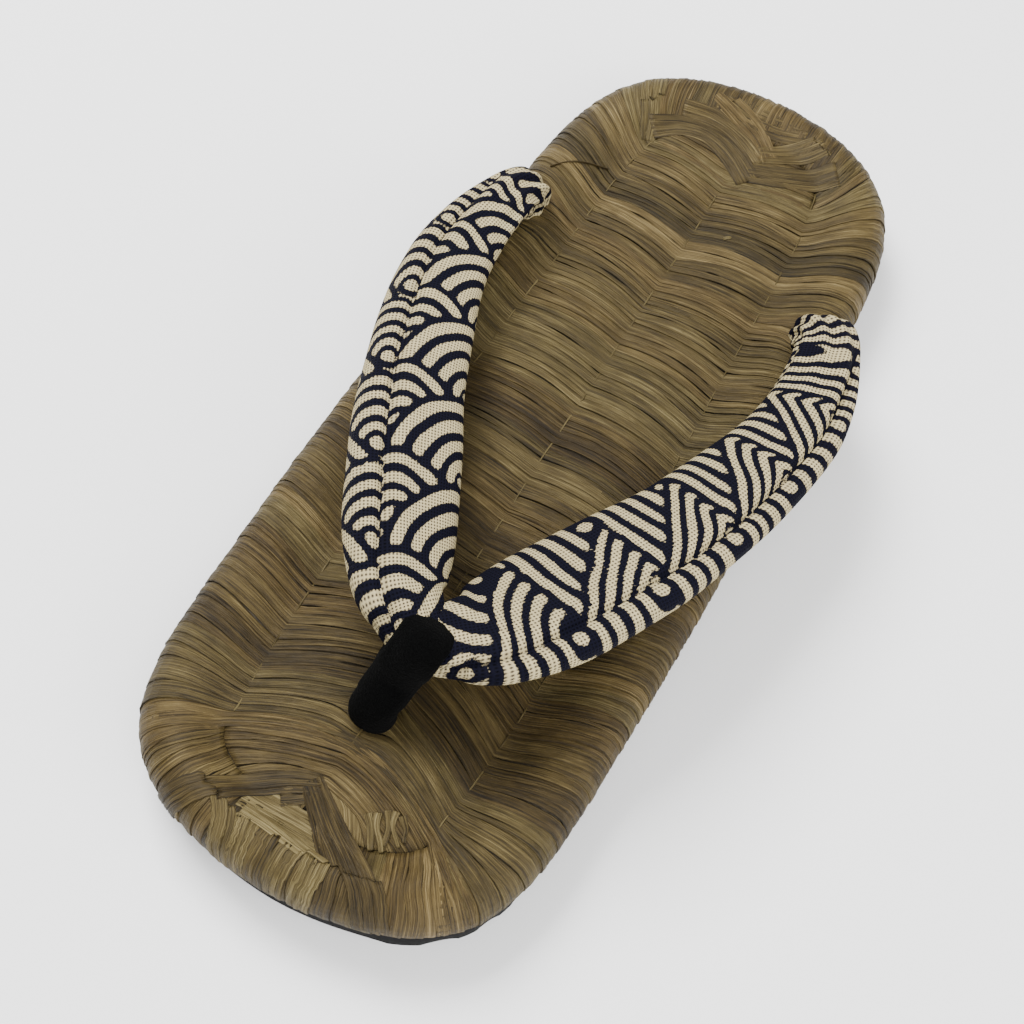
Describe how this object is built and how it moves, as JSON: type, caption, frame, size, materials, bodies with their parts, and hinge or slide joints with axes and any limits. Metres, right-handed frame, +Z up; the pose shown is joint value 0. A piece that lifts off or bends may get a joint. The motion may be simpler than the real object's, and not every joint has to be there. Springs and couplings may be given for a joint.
{
  "type": "zori sandal",
  "caption": "Flat woven sandal with a raised rim, padded cloth straps meeting at a velvet toe thong, and a cross-ribbed rubber sole.",
  "frame": {"origin": "on the floor under the middle of the sole's length, on the sole's plane of symmetry", "axes": "+Y to the toe, +Z up, +X to the right when seen from the heel"},
  "size_m": [0.1145, 0.255, 0.0447],
  "materials": {
    "rubber": "matt black moulded rubber",
    "woven_sheath": "woven dried bamboo-sheath strips, tan to dark brown, dull satin",
    "strap_cloth": "coarse cotton with off-white wave fans on navy",
    "velvet": "black velvet pile"
  },
  "bodies": {
    "root": {"outsole": "rubber", "footbed": "woven_sheath", "upper": "strap_cloth", "front_thong": "velvet"}
  },
  "joints": []
}
